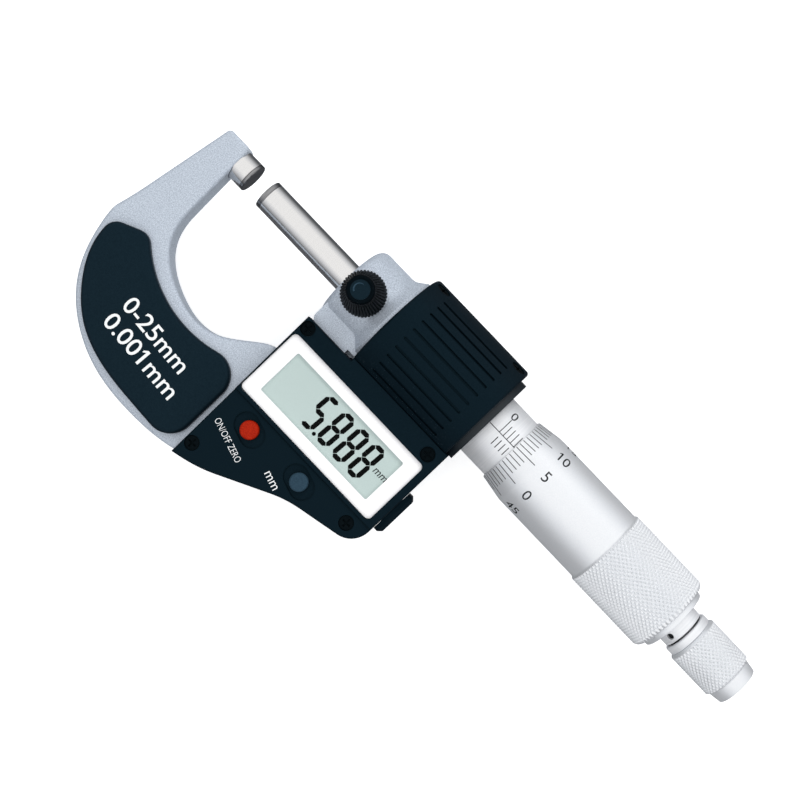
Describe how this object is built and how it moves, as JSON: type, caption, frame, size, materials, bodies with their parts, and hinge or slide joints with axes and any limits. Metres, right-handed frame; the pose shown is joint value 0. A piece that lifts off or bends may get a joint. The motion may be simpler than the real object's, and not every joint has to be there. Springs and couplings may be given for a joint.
{
  "type": "outside micrometer",
  "caption": "Digital outside micrometer: C-shaped frame with anvil, screw-driven spindle, display housing, graduated sleeve and thimble, and ratchet stop.",
  "frame": {"origin": "centre of the anvil's measuring face", "axes": "+X along the spindle axis towards the thimble, the bow and display hang towards -Y, +Z out of the front of the display; the tool lies on its back"},
  "size_m": [0.1545, 0.0629, 0.0293],
  "materials": {
    "frame_paint": "fine speckled silver hammer paint",
    "black_housing": "satin moulded",
    "black_plate": "satin, lightly textured",
    "polished_steel": "ground and polished",
    "carbide": "lapped carbide",
    "satin_chrome": "satin chrome",
    "dark_steel": "blackened",
    "brass_parts": "turned",
    "window_clear": "clear lens",
    "white_mask": "printed white",
    "lcd": "reflective liquid crystal",
    "circuit": "solder mask",
    "red_button": "moulded",
    "blue_button": "moulded",
    "rubber_seal": "moulded",
    "cell_steel": "nickel plated"
  },
  "bodies": {
    "frame_body": {"frame": "frame_paint", "anvil": "polished_steel", "anvil_tip": "carbide", "front_insulating_plate": "black_plate", "rear_insulating_plate": "black_plate", "spindle_bush": "dark_steel", "encoder_cover": "black_housing", "encoder_cover_screws": "dark_steel", "encoder_stator": "circuit", "rotor_bearing_plate": "brass_parts", "barrel": "polished_steel", "sleeve": "satin_chrome", "adjusting_nut": "dark_steel", "front_shell": "black_housing", "rear_shell": "black_housing", "housing_screws": "dark_steel", "rear_shell_screws": "dark_steel", "display_window": "window_clear", "window_surround": "white_mask", "lcd_panel": "lcd", "circuit_board": "circuit", "switch_domes": "dark_steel", "battery": "cell_steel", "battery_contacts": "brass_parts", "data_connector": "black_housing"},
    "rotor_body": {"encoder_rotor": "circuit", "rotor_key": "brass_parts", "rotor_clip": "dark_steel"},
    "spindle_body": {"spindle": "polished_steel", "spindle_tip": "carbide", "thimble": "satin_chrome", "ratchet_body": "satin_chrome", "ratchet_driving_disc": "dark_steel", "ratchet_end_screw": "dark_steel"},
    "ratchet_knob_body": {"ratchet_knob": "satin_chrome", "ratchet_collar": "satin_chrome", "ratchet_driven_disc": "dark_steel", "ratchet_spring": "dark_steel"},
    "lock_knob_body": {"lock_knob": "dark_steel", "lock_screw": "dark_steel"},
    "lock_shoe_body": {"lock_shoe": "brass_parts"},
    "power_button_body": {"power_button": "red_button"},
    "unit_button_body": {"unit_button": "blue_button"},
    "seal_body": {"battery_seal": "rubber_seal"},
    "cap_body": {"battery_cap": "black_housing"},
    "port_cover_body": {"data_port_cover": "black_housing"}
  },
  "joints": [
    {"name": "thimble_turn", "type": "hinge", "parent": "frame_body", "child": "rotor_body", "pos_m": [0.05, 0, 0], "axis": [1, 0, 0], "range_deg": [-2916.1, 15084.1]},
    {"name": "spindle_travel", "type": "slide", "parent": "rotor_body", "child": "spindle_body", "axis": [1, 0, 0], "range_m": [-0.00405, 0.02095]},
    {"name": "ratchet_turn", "type": "hinge", "parent": "spindle_body", "child": "ratchet_knob_body", "pos_m": [0.13, 0, 0], "axis": [1, 0, 0], "continuous": true},
    {"name": "lock_turn", "type": "hinge", "parent": "frame_body", "child": "lock_knob_body", "pos_m": [0.0331, 0, 0.009], "axis": [0, 0, 1], "range_deg": [-90.1, 0]},
    {"name": "lock_press", "type": "slide", "parent": "frame_body", "child": "lock_shoe_body", "axis": [0, 0, 1], "range_m": [-0.000125, 0]},
    {"name": "power_press", "type": "slide", "parent": "frame_body", "child": "power_button_body", "axis": [0, 0, 1], "range_m": [-0.0004, 0], "stiffness_N_per_m": 300},
    {"name": "unit_press", "type": "slide", "parent": "frame_body", "child": "unit_button_body", "axis": [0, 0, 1], "range_m": [-0.0004, 0], "stiffness_N_per_m": 300},
    {"name": "cap_travel", "type": "slide", "parent": "frame_body", "child": "seal_body", "axis": [0, 0, 1], "range_m": [-0.00225, 0]},
    {"name": "cap_turn", "type": "hinge", "parent": "seal_body", "child": "cap_body", "pos_m": [0.0475, -0.0235, -0.011], "axis": [0, 0, 1], "range_deg": [-1080.1, 0]},
    {"name": "port_cover_pull", "type": "slide", "parent": "frame_body", "child": "port_cover_body", "axis": [1, 0, 0], "range_m": [0, 0.004]}
  ],
  "couplings": [
    {"joint": "thimble_turn", "follows": "spindle_travel", "rad_per_m": 12566},
    {"joint": "lock_turn", "follows": "lock_press", "rad_per_m": 12566},
    {"joint": "cap_turn", "follows": "cap_travel", "rad_per_m": 8377.6}
  ]
}
